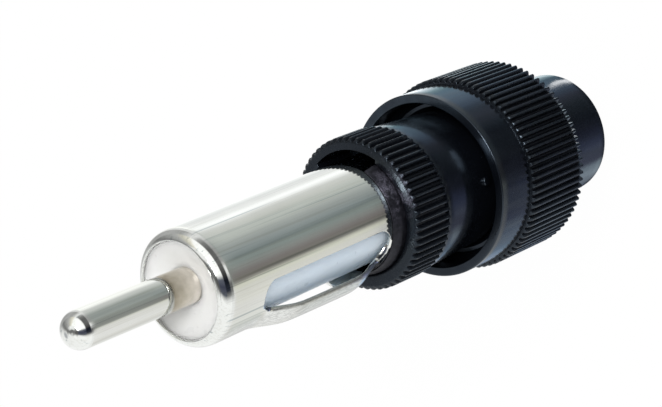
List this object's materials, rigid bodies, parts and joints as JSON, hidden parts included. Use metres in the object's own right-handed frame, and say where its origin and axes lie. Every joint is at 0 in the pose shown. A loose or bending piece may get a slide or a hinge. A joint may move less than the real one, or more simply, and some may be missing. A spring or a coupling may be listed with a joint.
{
  "type": "car aerial plug",
  "caption": "Male car aerial plug with a domed centre pin, a plated sleeve with a bowed spring strip, a fluted black collar and a fluted screw cap with a cable hole.",
  "frame": {"origin": "centre of the cap's flat rear face, on the plug's axis", "axes": "+Z along the plug's axis from the cable end to the pin's tip; the sleeve's bowed spring strip faces -X"},
  "size_m": [0.0172, 0.0172, 0.0617],
  "materials": {
    "nickel": "bright nickel plate, slightly warm",
    "white_insulator": "translucent white, satin",
    "black_shell": "moulded black, glossy",
    "black_bush": "moulded black, satin",
    "plated_brass": "plain turned, lightly plated",
    "gasket": "plain black rubber"
  },
  "bodies": {
    "plug": {"contact_pin": "nickel", "front_insulator": "white_insulator", "rear_insulator": "white_insulator", "sleeve": "nickel", "split_bush": "black_bush", "collar": "black_shell", "ground_ferrule": "plated_brass"},
    "clamp": {"thrust_washer": "plated_brass", "cable_gasket": "gasket", "braid_clamp": "plated_brass"},
    "cap": {"cap": "black_shell"}
  },
  "joints": [
    {"name": "clamp_slide", "type": "slide", "parent": "plug", "child": "clamp", "axis": [0, 0, -1], "range_m": [0, 0.005]},
    {"name": "cap_turn", "type": "hinge", "parent": "clamp", "child": "cap", "pos_m": [0, 0, 0], "axis": [0, 0, -1], "range_deg": [0, 1440]}
  ],
  "couplings": [
    {"joint": "clamp_slide", "follows": "cap_turn", "m_per_rad": 0.00019894}
  ]
}
